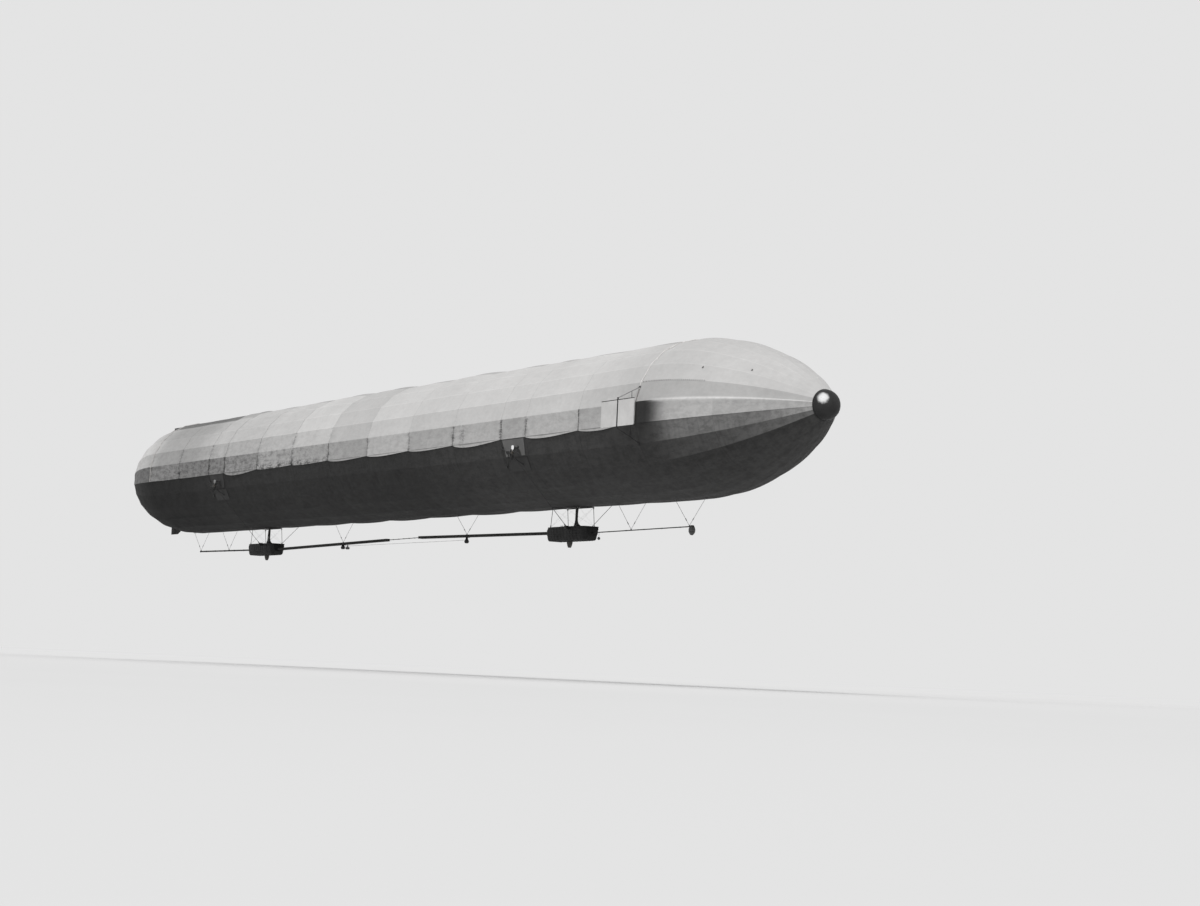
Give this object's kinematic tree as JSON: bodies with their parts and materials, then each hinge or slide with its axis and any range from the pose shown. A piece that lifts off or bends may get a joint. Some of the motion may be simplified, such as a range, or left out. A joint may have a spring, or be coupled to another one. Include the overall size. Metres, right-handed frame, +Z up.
{
  "type": "one-tenth scale model of an early rigid airship",
  "caption": "One-tenth scale rigid airship: long cloth-covered hull with rounded ends, open gondolas joined by a gangway, side propellers, rudders and a sliding trim weight.",
  "frame": {"origin": "the middle of the hull's axis, half way between the two nose caps", "axes": "+X along the hull's axis to the bow, +Y to port, +Z up"},
  "size_m": [12.8, 1.474, 1.49],
  "materials": {
    "upper_cover": "doped cotton, pale",
    "lower_cover": "doped cotton, dark",
    "bare_metal": "bare sheet",
    "gondola_metal": "dull painted sheet",
    "framing": "dull painted tube",
    "engine_iron": "oily casting",
    "walkway": "dark weathered boards",
    "rudder_cloth": "tight doped cloth",
    "padding": "dark hide over padding",
    "lead": "dull lead"
  },
  "bodies": {
    "ship": {"bow_cap": "bare_metal", "bow_ogive_cover_upper": "upper_cover", "bow_ogive_cover_lower": "lower_cover", "fore_cover_upper": "upper_cover", "fore_cover_lower": "lower_cover", "fore_mid_cover_upper": "upper_cover", "fore_mid_cover_lower": "lower_cover", "midship_cover_upper": "upper_cover", "midship_cover_lower": "lower_cover", "aft_mid_cover_upper": "upper_cover", "aft_mid_cover_lower": "lower_cover", "aft_cover_upper": "upper_cover", "aft_cover_lower": "lower_cover", "stern_ogive_cover_upper": "upper_cover", "stern_ogive_cover_lower": "lower_cover", "stern_cap": "bare_metal", "fore_gondola": "gondola_metal", "aft_gondola": "gondola_metal", "fore_engine": "engine_iron", "aft_engine": "engine_iron", "fore_buffer": "padding", "aft_buffer": "padding", "fore_ladder_trunk": "framing", "aft_ladder_trunk": "framing", "fore_strut_frame": "framing", "aft_strut_frame": "framing", "fore_gangway": "walkway", "aft_gangway": "walkway", "gangway_link": "walkway", "trim_rail": "framing", "bow_boom": "framing", "stern_boom": "framing", "boom_weight": "lead", "fore_outrigger_port": "framing", "fore_outrigger_starboard": "framing", "aft_outrigger_port": "framing", "aft_outrigger_starboard": "framing", "fore_drive_shaft_port": "bare_metal", "fore_drive_shaft_starboard": "bare_metal", "aft_drive_shaft_port": "bare_metal", "aft_drive_shaft_starboard": "bare_metal", "stern_rudder_bracket_port": "framing", "stern_rudder_bracket_starboard": "framing", "bow_rudder_seat_upper": "framing", "bow_rudder_seat_lower": "framing"},
    "fore_port_rotor": {"fore_propeller_port": "bare_metal"},
    "fore_starboard_rotor": {"fore_propeller_starboard": "bare_metal"},
    "aft_port_rotor": {"aft_propeller_port": "bare_metal"},
    "aft_starboard_rotor": {"aft_propeller_starboard": "bare_metal"},
    "port_stern_rudder": {"stern_rudder_port": "rudder_cloth"},
    "starboard_stern_rudder": {"stern_rudder_starboard": "rudder_cloth"},
    "upper_bow_rudder": {"bow_rudder_upper": "rudder_cloth"},
    "lower_bow_rudder": {"bow_rudder_lower": "rudder_cloth"},
    "sliding_weight": {"trim_weight": "lead"}
  },
  "joints": [
    {"name": "fore_port_propeller_spin", "type": "hinge", "parent": "ship", "child": "fore_port_rotor", "pos_m": [2.89, 0.635, -0.205], "axis": [1, 0, 0], "continuous": true},
    {"name": "fore_starboard_propeller_spin", "type": "hinge", "parent": "ship", "child": "fore_starboard_rotor", "pos_m": [2.89, -0.635, -0.205], "axis": [1, 0, 0], "continuous": true},
    {"name": "aft_port_propeller_spin", "type": "hinge", "parent": "ship", "child": "aft_port_rotor", "pos_m": [-3.11, 0.635, -0.205], "axis": [1, 0, 0], "continuous": true},
    {"name": "aft_starboard_propeller_spin", "type": "hinge", "parent": "ship", "child": "aft_starboard_rotor", "pos_m": [-3.11, -0.635, -0.205], "axis": [1, 0, 0], "continuous": true},
    {"name": "port_stern_rudder_turn", "type": "hinge", "parent": "ship", "child": "port_stern_rudder", "pos_m": [-4.8, 0.73, 0], "axis": [0, 0, 1], "range_deg": [-30, 30]},
    {"name": "starboard_stern_rudder_turn", "type": "hinge", "parent": "ship", "child": "starboard_stern_rudder", "pos_m": [-4.8, -0.73, 0], "axis": [0, 0, 1], "range_deg": [-30, 30]},
    {"name": "upper_bow_rudder_turn", "type": "hinge", "parent": "ship", "child": "upper_bow_rudder", "pos_m": [5.54, 0, 0.55], "axis": [0, 0, 1], "range_deg": [-30, 30]},
    {"name": "lower_bow_rudder_turn", "type": "hinge", "parent": "ship", "child": "lower_bow_rudder", "pos_m": [5.46, 0, -0.53], "axis": [0, 0, 1], "range_deg": [-30, 30]},
    {"name": "trim_weight_slide", "type": "slide", "parent": "ship", "child": "sliding_weight", "axis": [1, 0, 0], "range_m": [-2.3, 0.05]}
  ]
}
